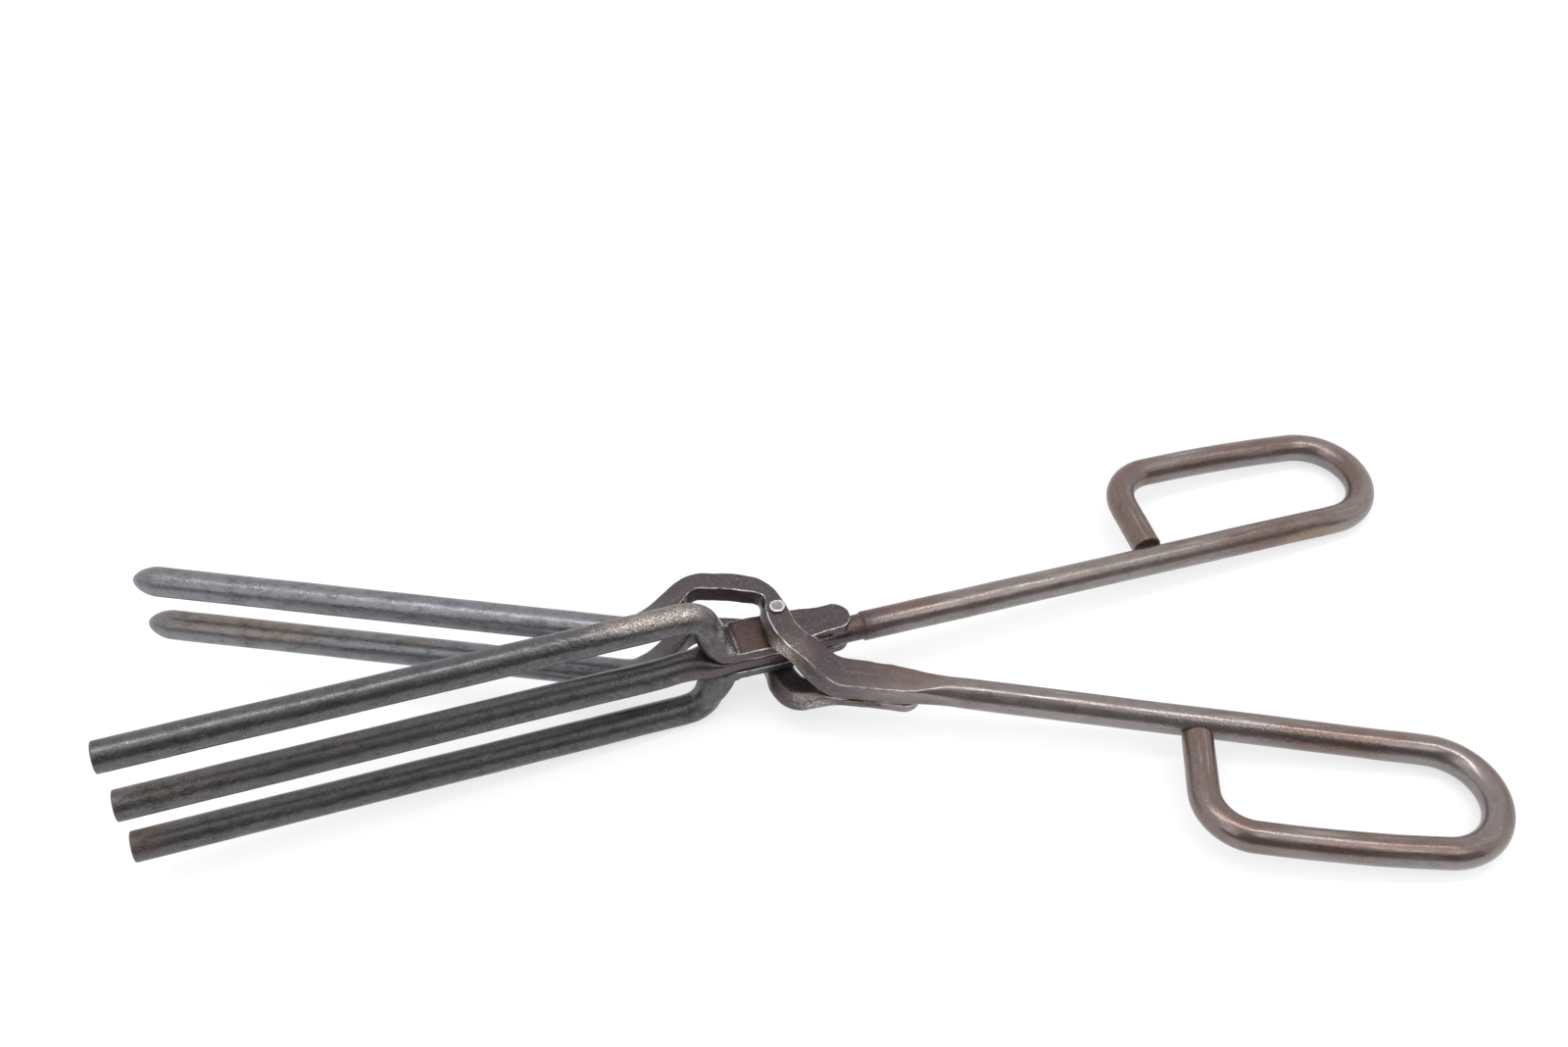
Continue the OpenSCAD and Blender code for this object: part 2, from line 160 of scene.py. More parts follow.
# Places of the values in a station that the bars change afterwards.
Z, SIDE_Z, UP_X, UP_Y, TOP_R, LOW_R, BULGE = 2, 5, 6, 7, 9, 10, 11


def level(x, y, z, heading, a, b, rt=None, rb=None, bulge=0.0):
    """Station of a bar that runs level: half width a, half height b, corner radii."""
    h = math.radians(heading)
    rt = min(a, b) if rt is None else rt
    return [x, y, z, -a * math.sin(h), a * math.cos(h), 0, 0, 0, b, rt, rt if rb is None else rb,
            bulge]


def rod(x, y):
    """Station of the full round rod of a handle."""
    return level(x, y, 0, 0, ROD_R, ROD_R)


def between(left, right, top, bottom, rt, rb, bulge=0.0):
    """Station given by its left and right edges in plan and its top and bottom."""
    c = [(left[0] + right[0]) / 2, (left[1] + right[1]) / 2, (top + bottom) / 2]
    a = [(left[0] - right[0]) / 2, (left[1] - right[1]) / 2, 0]
    return [*c, *a, 0, 0, (top - bottom) / 2, rt, rb, bulge]


def upright(back, belly, y, a, rt, rb):
    """Station of a bent leg, given in side view by the points on its back and belly."""
    c = [(back[0] + belly[0]) / 2, y, (back[1] + belly[1]) / 2]
    b = [(back[0] - belly[0]) / 2, 0, (back[1] - belly[1]) / 2]
    return [*c, 0, a, 0, *b, rt, rb, 0.0]


def slopes(s, v, monotone):
    """Slopes at the stations, for a smooth curve or one that never overshoots."""
    h = np.diff(s)[:, None]
    d = np.diff(v, axis=0) / h
    m = np.empty_like(v)
    m[0], m[-1] = d[0], d[-1]
    m[1:-1] = (d[:-1] * h[1:] + d[1:] * h[:-1]) / (h[1:] + h[:-1])
    if monotone:
        flat = d[:-1] * d[1:] <= 0
        limit = 3 * np.minimum(np.abs(d[:-1]), np.abs(d[1:]))
        m[1:-1] = np.where(flat, 0, np.clip(m[1:-1], -limit, limit))
    return m


def curve_through(s, v, at, monotone):
    """Values v, given at the lengths s, on a smooth curve at the lengths at."""
    m = slopes(s, v, monotone)
    i = np.clip(np.searchsorted(s, at, "right") - 1, 0, len(s) - 2)
    h = (s[i + 1] - s[i])[:, None]
    t = ((at - s[i]) / h[:, 0])[:, None]
    return ((2 * t**3 - 3 * t**2 + 1) * v[i] + (t**3 - 2 * t**2 + t) * h * m[i]
            + (3 * t**2 - 2 * t**3) * v[i + 1] + (t**3 - t**2) * h * m[i + 1])


# Width of a worn edge in millimetres, and the share of a flat section's points that its
# rounded corners get.
EDGE_WIDTH = 0.24
SPARE_POINTS = 0.45


def quadrant(a, b, r, n):
    """Quarter of a rounded rectangle from (a, 0) to (0, b), for each ring."""
    r = np.minimum(r, np.minimum(a, b))[:, None]
    a, b = a[:, None], b[:, None]
    side, arc, top = b - r, r * math.pi / 2, a - r
    whole = side + arc + top
    spare = SPARE_POINTS * (1 - arc / whole)
    w1 = side / whole * (1 - spare)
    w3 = top / whole * (1 - spare)
    w2 = 1 - w1 - w3
    t = np.linspace(0, 1, n, endpoint=False)[None, :]
    t1 = np.clip(t / np.maximum(w1, 1e-9), 0, 1)
    t2 = np.clip((t - w1) / w2, 0, 1)
    t3 = np.clip((t - w1 - w2) / np.maximum(w3, 1e-9), 0, 1)
    ang = t2 * math.pi / 2
    u = (a - r) * (1 - t3) + r * np.cos(ang)
    v = side * np.where(t2 > 0, 1, t1) + r * np.sin(ang)
    past = np.abs(t2 - 0.5) * arc + np.where(t2 <= 0, (1 - t1) * side, 0) + np.where(
        t3 > 0, t3 * top, 0)
    edge = np.exp(-(past / EDGE_WIDTH) ** 2) * np.clip(1.25 - r / 1.1, 0, 1)
    return u, v, np.cos(ang), np.sin(ang), edge


def section(a, b, rt, rb, around):
    """Points, outward directions and edge marks of every ring."""
    n = around // 4
    u1, v1, c1, s1, e1 = quadrant(a, b, rt, n)
    ut, vt, ct, st, et = quadrant(b, a, rt, n)
    ul, vl, cl, sl, el = quadrant(a, b, rb, n)
    ub, vb, cb, sb, eb = quadrant(b, a, rb, n)
    u = np.hstack([u1, -vt, -ul, vb])
    v = np.hstack([v1, ut, -vl, -ub])
    nu = np.hstack([c1, -st, -cl, sb])
    nv = np.hstack([s1, ct, -sl, -cb])
    return u, v, nu, nv, np.hstack([e1, et, el, eb])


def fractal(p, size, octaves=3, seed=0.0):
    """Smooth noise of about -1 to 1 at points given in millimetres."""
    q = p / size + seed
    return np.array([noise.fractal(Vector(x), 1.0, 2.0, octaves) for x in q])


def pits(p, size, seed=0.0):
    """Round pits, 1 at their middle and 0 between them."""
    q = p / size + seed
    near = np.array([noise.voronoi(Vector(x))[0][0] for x in q])
    return np.clip(1 - near / 0.42, 0, 1) ** 1.5


def patch(p, centre, reach):
    """Soft spot, 1 at centre and 0 past reach, in the half's own plane."""
    d = (p - np.array(centre)) / np.array(reach)
    return np.clip(1 - np.sum(d * d, axis=1), 0, 1)


# Rings that close a bar's end: their share of its full size and how far in they lie.
CAP_SHARES = np.array([0.0, 0.45, 0.80, 0.93, 0.985])
CAP_DEPTHS = np.array([0.0, 0.0, 0.0, 0.02, 0.1])


def loft(stations, step, around, fine=()):
    """Rings of a bar through its stations: positions, marks and straightened places."""
    st = np.array(stations, float)
    s = np.r_[0, np.cumsum(np.linalg.norm(np.diff(st[:, :3], axis=0), axis=1))]
    at = [np.arange(0.12, s[-1] - 0.12, step), [0.3, s[-1] - 0.3]]
    at += [np.arange(s0, s1, step / 4) for s0, s1 in fine]
    at = np.unique(np.round(np.concatenate(at), 3))
    at = np.clip(at, 0, s[-1])
    shrink = np.r_[CAP_SHARES, np.ones(len(at)), CAP_SHARES[::-1]]
    at = np.r_[CAP_DEPTHS, at, s[-1] - CAP_DEPTHS[::-1]]
    pos = curve_through(s, st[:, :3], at, False)
    rest = curve_through(s, st[:, 3:], at, True)
    av, bv, rt, rb, bulge = rest[:, :3], rest[:, 3:6], rest[:, 6], rest[:, 7], rest[:, 8]
    a = np.linalg.norm(av, axis=1)
    b = np.linalg.norm(bv, axis=1)
    u, v, nu, nv, edge = section(a, b, rt, rb, around)
    near = np.clip(-u / a[:, None], 0, 1)
    rise = v / b[:, None]
    over = np.clip((rise + 0.4) / 1.4, 0, 1)
    # the bar swells on its near side, most below the middle, and its top edge draws back
    swell = bulge[:, None] * near * (np.clip(1 - (rise + 0.35) ** 2, 0, 1) - 1.5 * over**2)
    side = av / a[:, None]
    up = bv / b[:, None]
    return {
        "pos": pos, "side": side, "up": up, "u": u - swell, "v": v, "nu": nu, "nv": nv,
        "edge": edge, "s": at, "shrink": shrink,
    }


def rings_to_points(r, lift=None):
    """Places of all the mesh points, in the half's own plane."""
    u, v = r["u"], r["v"]
    if lift is not None:
        u, v = u + r["nu"] * lift, v + r["nv"] * lift
    k = r["shrink"][:, None]
    u, v = u * k, v * k
    p = (r["pos"][:, None, :] + u[:, :, None] * r["side"][:, None, :]
         + v[:, :, None] * r["up"][:, None, :])
    return p, u, v


def grid_object(name, points):
    """A grid primitive moved onto the points, one row a ring, with the seam still open."""
    rows, cols = points.shape[:2]
    bpy.ops.object.select_all(action="DESELECT")
    bpy.ops.mesh.primitive_grid_add(x_subdivisions=cols, y_subdivisions=rows - 1, size=1)
    obj = bpy.context.object
    obj.name = name
    obj.data.name = name
    closed = np.concatenate([points, points[:, :1]], axis=1)
    if len(obj.data.vertices) != closed.shape[0] * closed.shape[1]:
        raise RuntimeError(f"{name}: the grid has {len(obj.data.vertices)} points")
    obj.data.vertices.foreach_set("co", closed.reshape(-1))
    return obj


def add_mark(obj, name, values):
    """Point attribute, given for the rings and repeated along the seam."""
    wide = np.concatenate([values, values[:, :1]], axis=1)
    kind = "FLOAT_VECTOR" if values.ndim == 3 else "FLOAT"
    mark = obj.data.attributes.new(name, kind, "POINT")
    mark.data.foreach_set("vector" if values.ndim == 3 else "value",
                          wide.reshape(-1).astype(np.float32))


def close_seam(obj):
    """Merges the seam and the poles, turns the faces outwards and smooths them."""
    bpy.ops.object.select_all(action="DESELECT")
    obj.select_set(True)
    bpy.context.view_layer.objects.active = obj
    bpy.ops.object.mode_set(mode="EDIT")
    bpy.ops.mesh.select_all(action="SELECT")
    bpy.ops.mesh.remove_doubles(threshold=2e-6)
    bpy.ops.mesh.normals_make_consistent(inside=False)
    bpy.ops.object.mode_set(mode="OBJECT")
    bpy.ops.object.shade_smooth()


def to_frame(points, half_angle):
    """Points of a half's own plane, in millimetres, as places in the frame, in metres."""
    turn = Matrix.Rotation(math.radians(half_angle), 3, "Z")
    flat = points.reshape(-1, 3) * MM
    return (flat @ np.array(turn).T + np.array(RIVET)).reshape(points.shape)


# Kinds of mark: rust, pits and tan are the iron's own colour; bright marks are painted highlights
# and dark marks are painted shade.
PAINTS = ("rust", "pitted", "bright", "dark", "tan")

# Unevenness of a forged skin, as depth and size, and how far the skin lies inside the
# drawn bar, all in millimetres. Dents are drawn out along the bar by one over DENT_SHARE.
BROAD_DENTS = (0.056, 9.0)
FINE_DENTS = (0.01225, 2.2)
RAGGED_EDGES = (0.22, 3.1)
LARGE_PITS = (0.13, 1.7)
SMALL_PITS = (0.07, 0.9)
SKIN_INSIDE = 0.07
DENT_SHARE = 0.45


def uneven(kind, p, seed):
    """Height of a kind of unevenness at points given in millimetres."""
    depth, size = kind
    return depth * fractal(p, size, 2, seed)


def make_bar(name, body, half_angle, stations, marks, seed, zero, fine=()):
    """Lofts a bar, forges its surface uneven, marks it and rides it on its body.

    A mark is a kind, a middle and a reach in the half's own plane, and a strength. zero is
    the length along the bar at the rivet, from which its finish is measured, and fine
    gives the lengths between which its rings lie closer.
    """
    sizes = bpy.context.scene.iron_sizes
    r = loft(stations, sizes.ring_step, sizes.around, fine)
    p, u, v = rings_to_points(r)
    shape = u.shape
    s = np.repeat(r["s"][:, None] - zero, shape[1], axis=1)
    bar = np.stack([s, u, v], axis=2)
    flat_bar = bar.reshape(-1, 3)
    flat_p = p.reshape(-1, 3)
    edge = r["edge"].reshape(-1)
    long = flat_bar * np.array([DENT_SHARE, 1, 1])
    lift = uneven(BROAD_DENTS, long, seed) + uneven(FINE_DENTS, long, seed + 7)
    lift += edge * uneven(RAGGED_EDGES, flat_bar, seed + 3) - SKIN_INSIDE
    painted = {k: np.zeros(len(flat_p)) for k in PAINTS}
    for kind, centre, reach, strength in marks:
        painted[kind] = np.maximum(painted[kind], strength * patch(flat_p, centre, reach))
    deep = painted["pitted"] > 0.02
    if deep.any():
        strength = np.minimum(painted["pitted"][deep] * 1.5, 1)
        for (depth, size), number in ((LARGE_PITS, seed), (SMALL_PITS, seed + 5)):
            lift[deep] -= depth * strength * pits(flat_bar[deep], size, number)
    p, u, v = rings_to_points(r, lift.reshape(shape))
    obj = grid_object(name, to_frame(p, half_angle))
    add_mark(obj, "bar", bar * MM)
    add_mark(obj, "edge", r["edge"])
    for kind, values in painted.items():
        add_mark(obj, kind, values.reshape(shape))
    close_seam(obj)
    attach(obj, body)
    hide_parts(name.replace("_forged", ""))
    return obj


def arc(cx, cy, radius, start, end, n):
    """Stations of round rod along a level bend, with their headings."""
    turn = 90 if end > start else -90
    angles = np.linspace(start, end, n)
    return [level(cx + radius * math.cos(math.radians(t)),
                  cy + radius * math.sin(math.radians(t)), 0, t + turn, ROD_R, ROD_R)
            for t in angles]


# Dark gap between a loop's stub and the rod, in millimetres.
STUB_GAP = 0.3


def finger_loop(offset, side):
    """Stations of handle rod, loop and stub. side is 1 for a loop that bulges to +y."""
    g = bpy.context.scene.iron_sizes
    f = math.radians(g.loop_flare)
    end_r, corner_r = g.loop_end_radius, g.loop_corner_radius
    cx = g.loop_start + g.loop_length - end_r
    far = (cx + end_r * math.sin(f), end_r * (1 + math.cos(f)))
    stub_x = g.loop_start + corner_r * math.sin(f)
    far_l = (far[0] - stub_x) / math.cos(f) - corner_r
    corner = (far[0] - far_l * math.cos(f) - corner_r * math.sin(f),
              far[1] + far_l * math.sin(f) - corner_r * math.cos(f))
    stub_l = corner[1] + corner_r * math.sin(f) - ROD_R - STUB_GAP - ROD_R * math.sin(f)
    out = arc(cx, end_r, end_r, -90, 90 - g.loop_flare, 25)
    turn = arc(corner[0], corner[1], corner_r, 90 - g.loop_flare, 180 - g.loop_flare, 14)
    last = turn[-1]
    heading = 270 - g.loop_flare
    down = (math.cos(math.radians(heading)), math.sin(math.radians(heading)))
    stub = [level(last[0] + down[0] * k, last[1] + down[1] * k, 0, heading, ROD_R, ROD_R)
            for k in (stub_l * 0.35, stub_l * 0.7, stub_l)]
    rows = [rod(cx - 8, 0), *out, *turn, *stub]
    for row in rows:
        row[1] = -offset + side * row[1]
        row[3] *= side
    return rows


# ---------------------------------------------------------------- finishes


class Tree:
    """Node tree of a material or a world, with a short call for each kind of node."""

    def __init__(self, owner):
        owner.use_nodes = True
        self.nodes = owner.node_tree.nodes
        self.links = owner.node_tree.links

    def feed(self, node, inputs):
        """Links a node's sockets, given by name or place, to others or sets their values."""
        for key, value in inputs.items():
            if isinstance(value, bpy.types.NodeSocket):
                self.links.new(value, node.inputs[key])
            else:
                node.inputs[key].default_value = value

    def add(self, kind, inputs):
        """New node with some of its sockets fed."""
        node = self.nodes.new(kind)
        self.feed(node, inputs)
        return node

    def attribute(self, name):
        node = self.nodes.new("ShaderNodeAttribute")
        node.attribute_name = name
        return node.outputs

    def noise(self, source, scale, stretch, detail=4.0, roughness=0.6):
        """Noise along a bar, drawn out lengthwise by stretch."""
        mapping = self.add("ShaderNodeMapping", {"Vector": source, "Scale": (1 / stretch, 1, 1)})
        tex = self.add("ShaderNodeTexNoise", {
            "Vector": mapping.outputs["Vector"], "Scale": scale, "Detail": detail,
            "Roughness": roughness})
        return tex.outputs["Fac"]

    def span(self, source, low, high, out_low=0.0, out_high=1.0):
        """Source between low and high, as out_low to out_high, with soft ends."""
        node = self.add("ShaderNodeMapRange", {
            "Value": source, "From Min": low, "From Max": high, "To Min": out_low,
            "To Max": out_high})
        node.interpolation_type = "SMOOTHSTEP"
        return node.outputs["Result"]

    def maths(self, operation, a, b, clamp=False):
        """Result of an operation on two sockets or numbers."""
        node = self.add("ShaderNodeMath", {0: a, 1: b})
        node.operation = operation
        node.use_clamp = clamp
        return node.outputs[0]

    def times(self, a, b):
        """Product, kept between 0 and 1."""
        return self.maths("MULTIPLY", a, b, clamp=True)

    def plus(self, a, b):
        return self.maths("ADD", a, b)

    def blend(self, share, a, b):
        """Colour a, turning into colour b as share grows from 0 to 1."""
        node = self.nodes.new("ShaderNodeMix")
        node.data_type = "RGBA"
        a, b = (x if isinstance(x, bpy.types.NodeSocket) else (*x[:3], 1) for x in (a, b))
        self.feed(node, {0: share, 6: a, 7: b})
        return node.outputs[2]

    def bump(self, height, strength, depth):
        """Surface direction dented by height, which is worth depth in metres at 1."""
        node = self.add("ShaderNodeBump", {
            "Height": height, "Strength": strength, "Distance": depth})
        return node.outputs["Normal"]


def new_material(name):
    mat = bpy.data.materials.new(name)
    tree = Tree(mat)
    return mat, tree, tree.nodes["Principled BSDF"]


# Noises on a bar: features in a metre, how far they are drawn out, detail, roughness.
NOISES = {
    "broad": (85, 4, 5, 0.6),
    "patchy": (330, 2.0, 6, 0.65),
    "blotch": (800, 1.7, 5, 0.7),
    "grain": (2300, 1.4, 4, 0.7),
    "streak": (1100, 18, 4, 0.6),
    "speck": (3400, 1.2, 3, 0.75),
}
# Corrosion pits in a metre, and the black of the painted shade.
CORROSION_PITS = 1500
SHADE_BLACK = (0.02, 0.02, 0.02)

# Metres from the rivet at which the prong's finish turns into the plate's and the plate's
# into the handle's, on the three-prong half and on the fork half.
STACK_ENDS = (-0.028, -0.014, 0.012, 0.03)
FORK_ENDS = (-0.048, -0.03, 0.012, 0.034)


def iron_colour(tree, n, marks, to_handle, height, base, prong, plate, handle, film):
    """Handle's colour, greyer below as a painted reflection of the floor, a tan film on top, then
    the marks with their painted shade and painted highlights, dark blotches and pale grain.
    """
    c = bpy.context.scene.iron_finish
    # Rubbed grey wear in broad patches, plus a painted reflection of the floor that makes the
    # bar's lower side greyer and lighter.
    rubbed_and_lit_below = tree.plus(tree.span(n["broad"], 0.38, 0.6),
                       tree.span(height, 0.0026, -0.0012, -0.25, 0.35))
    base = tree.blend(to_handle, base, tree.blend(rubbed_and_lit_below, handle, c.handle_grey))
    upper = tree.times(tree.span(height, -0.0005, 0.003), film)
    film_on = tree.times(tree.span(n["broad"], 0.46, 0.64), upper)
    base = tree.blend(film_on, base, c.tan)
    tan_on = tree.times(marks["tan"], tree.span(n["grain"], 0.38, 0.6, 0.2, 1))
    base = tree.blend(tan_on, base, c.ochre)
    rusty = tree.times(marks["rust"], tree.span(n["patchy"], 0.3, 0.55, 0.4, 1))
    base = tree.blend(rusty, base, c.rust)
    calm = tree.maths("SUBTRACT", 1.0, tree.times(to_handle, 0.6))
    gloom = tree.times(tree.span(n["blotch"], 0.46, 0.66, 0, 0.62), calm)
    base = tree.blend(gloom, base, [x * 0.4 for x in prong])
    gloom = tree.times(tree.span(n["patchy"], 0.52, 0.7, 0, 0.4), calm)
    base = tree.blend(gloom, base, [x * 0.5 for x in plate])
    pale = [x * 0.62 for x in c.worn_and_highlight]
    lines = tree.times(tree.span(n["streak"], 0.57, 0.72, 0, 0.3), tree.plus(to_handle, 0.3))
    base = tree.blend(lines, base, pale)
    specks = tree.times(tree.span(n["speck"], 0.56, 0.7, 0, 0.7),
                        tree.span(n["patchy"], 0.36, 0.6, 0.25, 1))
    base = tree.blend(specks, base, pale)
    # Painted shade: the dark marks blacken places that lie in shade.
    base = tree.blend(tree.times(marks["dark"], 0.85), base, SHADE_BLACK)
    # Worn edges in bright bare metal, and the bright marks as painted highlights in the same
    # colour.
    broken = tree.span(n["blotch"], 0.38, 0.58, 0.1, 1)
    worn_and_highlight = tree.times(tree.span(marks["edge"], 0.3, 0.85), broken)
    sparkle = tree.span(n["speck"], 0.46, 0.6, 0.12, 1)
    worn_and_highlight = tree.maths("MAXIMUM", worn_and_highlight, tree.times(marks["bright"], sparkle))
    return tree.blend(worn_and_highlight, base, c.worn_and_highlight)


def iron_roughness(tree, n, marks, to_handle, gloss):
    """Patchy roughness from gloss upwards, less on the handle and more on the marks."""
    rough = tree.span(n["patchy"], 0.3, 0.7, gloss, gloss + 0.13)
    rough = tree.maths("SUBTRACT", rough, tree.times(to_handle, 0.05))
    for kind, more in (("rust", 0.22), ("pitted", 0.04), ("tan", 0.12), ("dark", 0.1)):
        rough = tree.plus(rough, tree.times(marks[kind], more))
    return rough


def iron_relief(tree, n, marks, bar, to_handle):
    """Fine relief: grain everywhere, pits where the surface is corroded."""
    cells = tree.add("ShaderNodeTexVoronoi", {"Vector": bar, "Scale": CORROSION_PITS})
    hollow = tree.times(tree.span(cells.outputs["Distance"], 0.05, 0.5), marks["pitted"])
    coarse = tree.maths("SUBTRACT", 1.0, tree.times(to_handle, 0.78))
    relief = tree.maths("MULTIPLY", tree.plus(n["blotch"], n["grain"]), 0.5)
    relief = tree.maths("MULTIPLY", relief, coarse)
    relief = tree.plus(relief, tree.maths("MULTIPLY", hollow, 0.9))
    return tree.plus(relief, tree.maths("MULTIPLY", n["streak"], 0.25))


def forged_iron(name, prong, plate, handle, film=0.2, gloss=0.28, ends=STACK_ENDS):
    """Iron whose finish goes from prong over plate to handle along the bar."""
    mat, tree, shader = new_material(name)
    bar = tree.attribute("bar")["Vector"]
    marks = {kind: tree.attribute(kind)["Fac"] for kind in ("edge", *PAINTS)}
    n = {kind: tree.noise(bar, *numbers) for kind, numbers in NOISES.items()}
    split = tree.add("ShaderNodeSeparateXYZ", {0: bar})
    along, height = split.outputs["X"], split.outputs["Z"]
    base = tree.blend(tree.span(along, ends[0], ends[1]), prong, plate)
    to_handle = tree.span(along, ends[2], ends[3])
    colour = iron_colour(tree, n, marks, to_handle, height, base, prong, plate, handle, film)
    relief = iron_relief(tree, n, marks, bar, to_handle)
    tree.feed(shader, {
        "Base Color": colour, "Metallic": 0.78, "IOR": 1.8,
        "Roughness": iron_roughness(tree, n, marks, to_handle, gloss),
        "Normal": tree.bump(relief, 1.0, 0.00008)})
    return mat


def small_metal(name, colour, edge_colour, roughness):
    """Finish of the rivet and the brazing, on object coordinates."""
    mat, tree, shader = new_material(name)
    coord = tree.nodes.new("ShaderNodeTexCoord").outputs["Object"]
    grain = tree.noise(coord, 1800, 1, 5, 0.7)
    broad = tree.noise(coord, 600, 1, 4)
    base = tree.blend(tree.span(broad, 0.4, 0.65), colour, [x * 0.55 for x in colour])
    edge = tree.span(tree.attribute("edge")["Fac"], 0.2, 0.8)
    tree.feed(shader, {
        "Base Color": tree.blend(edge, base, edge_colour), "Metallic": 0.9,
        "Roughness": tree.span(broad, 0.3, 0.7, roughness - 0.08, roughness + 0.1),
        "Normal": tree.bump(grain, 0.6, 0.00012)})
    return mat


def finish_piece(obj, mat):
    """Gives a piece its material."""
    obj.data.materials.clear()
    obj.data.materials.append(mat)


# ---------------------------------------------------------------- the bars


def prong_line(x, offset):
    """Point on a prong's axis, which is turned a little about the rivet."""
    t = math.radians(PRONG_SET)
    return (x * math.cos(t) + offset * math.sin(t), x * math.sin(t) - offset * math.cos(t))


def straight_prong(reach, offset, z, x_end):
    """Stations of a prong with a square-cut end, its rim a little rounded."""
    xs = [-reach, -reach + 0.35, -reach + 3, *np.linspace(-reach + 12, x_end, 7)]
    radii = [ROD_R - 0.22] + [ROD_R] * 9
    return [level(*prong_line(x, offset), z, PRONG_SET, q, q) for x, q in zip(xs, radii)]


def pointed_prong(reach, offset, z, x_end):
    """Stations of a prong with an ogival point."""
    length, blunt = 5.5, 0.5
    rows = []
    for k in range(11):
        t = math.radians(9 * k)
        x = -reach + length * (1 - math.cos(t))
        q = blunt + (ROD_R - blunt) * math.sin(t) ** 1.4
        rows.append(level(*prong_line(x, offset), z, PRONG_SET, q, q))
    for x in np.linspace(-reach + 14, x_end, 7):
        rows.append(level(*prong_line(x, offset), z, PRONG_SET, ROD_R, ROD_R))
    return rows


class IRON_OT_centre_bar(bpy.types.Operator):
    """Middle prong, flattened hinge part, handle and finger loop of the three-prong half"""

    bl_idname = "iron.centre_bar"
    bl_label = "Centre bar"
    bl_options = {"REGISTER", "UNDO"}

    def execute(self, context):
        g = context.scene.iron_sizes
        c = context.scene.iron_finish
        t = g.middle_thickness / 2
        y = -g.bar_offset
        rows = straight_prong(g.prong_reach, g.bar_offset, 0, -25)
        rows += [
            between((-20.5, 0.52), (-20.5, -5.9), 3.17, -3.17, 3.15, 3.15),
            between((-17.8, 0.7), (-17.8, -6.1), 3.05, -3.0, 2.9, 2.9),
            between((-16, 1.3), (-16, -6.3), 2.65, -2.6, 2.2, 2.4),
            between((-14.3, 2.3), (-14.3, -6.4), 2.1, -2.15, 1.5, 1.8),
            between((-12.3, 3.0), (-12.3, -6.35), 1.75, -1.8, 0.95, 1.3),
            between((0, 3.0), (0, -6.2), t, -t, 0.7, 0.8),
            between((5, 2.4), (5, -5.7), t, -t, 0.4, 0.4),
            between((9, 1.7), (9, -5.3), t, -t, 0.7, 0.7),
            between((12, 0.6), (12, -5.3), 2.0, -2.0, 1.5, 1.5),
            between((14.2, 0.2), (14.2, -5.4), 2.6, -2.6, 2.5, 2.5),
            level(15.6, y, 0, 0, 2.8, 2.8),
            level(17.5, y, 0, 0, 2.8, 2.8),
            level(17.9, y, 0, 0, 3.0, 3.0),
            *(rod(x, y) for x in (18.1, 24, 60, 100)),
        ]
        rows += finger_loop(g.bar_offset, 1)
        marks = [
            ("rust", (-3, -2, 0), (16, 6, 5), 0.5),
            ("rust", (17, -2.6, 1.5), (3.2, 4, 4), 0.9),
            ("pitted", (-122, -5, 2), (11, 5, 5), 0.9),
            ("pitted", (-100, -5, 0), (60, 4, 3), 0.35),
            ("pitted", (33, -4, -1), (14, 4, 4), 0.5),
            ("pitted", (86, 6, 0), (9, 9, 5), 0.6),
            ("tan", (123, -5.9, 0.2), (8, 2.6, 2.2), 1.6),
        ]
        zero = g.prong_reach
        obj = make_bar("centre_bar_forged", THREE_PRONG, HALF_OPEN, rows, marks, 1.3, zero,
                       fine=((zero + 16.8, zero + 18.8),))
        mat = forged_iron("brown and black forged iron", c.prong_black, c.plate_mauve,
                          c.handle_brown)
        finish_piece(obj, mat)
        return {"FINISHED"}


